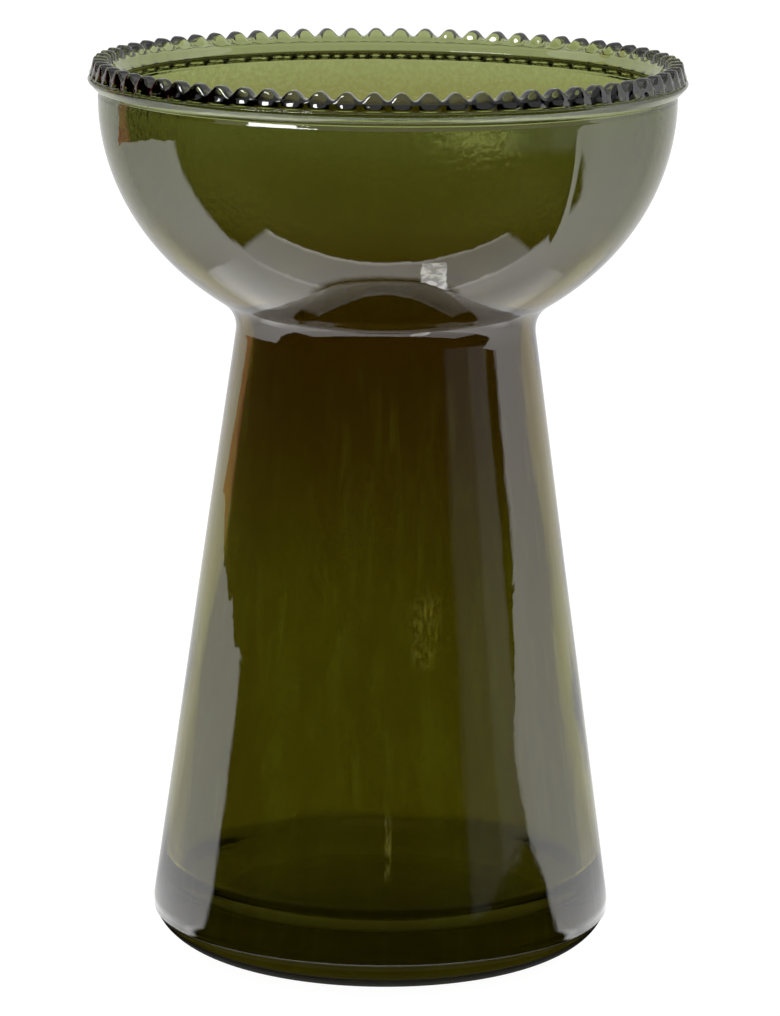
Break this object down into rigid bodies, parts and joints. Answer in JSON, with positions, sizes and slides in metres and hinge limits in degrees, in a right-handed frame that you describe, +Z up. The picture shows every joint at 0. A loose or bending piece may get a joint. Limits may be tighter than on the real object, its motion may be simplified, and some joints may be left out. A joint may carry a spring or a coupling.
{
  "type": "hyacinth forcing vase",
  "caption": "Thick olive glass hyacinth forcing vase: a tapered water chamber narrows to a waist under a round bulb bowl with a beaded rim.",
  "frame": {"origin": "centre of the foot, on the surface that the vase stands on", "axes": "+Z up along the vase's axis; the vase is round, with one bead of the rim centred on +X"},
  "size_m": [0.1184, 0.1184, 0.18],
  "materials": {
    "olive_glass": "thick olive green glass, clear and glossy, slightly wavy with fine ripples inside the bowl"
  },
  "bodies": {
    "root": {"foot": "olive_glass", "water_chamber": "olive_glass", "waist": "olive_glass", "bulb_bowl": "olive_glass", "rim_band": "olive_glass", "rim_beads": "olive_glass"}
  },
  "joints": []
}
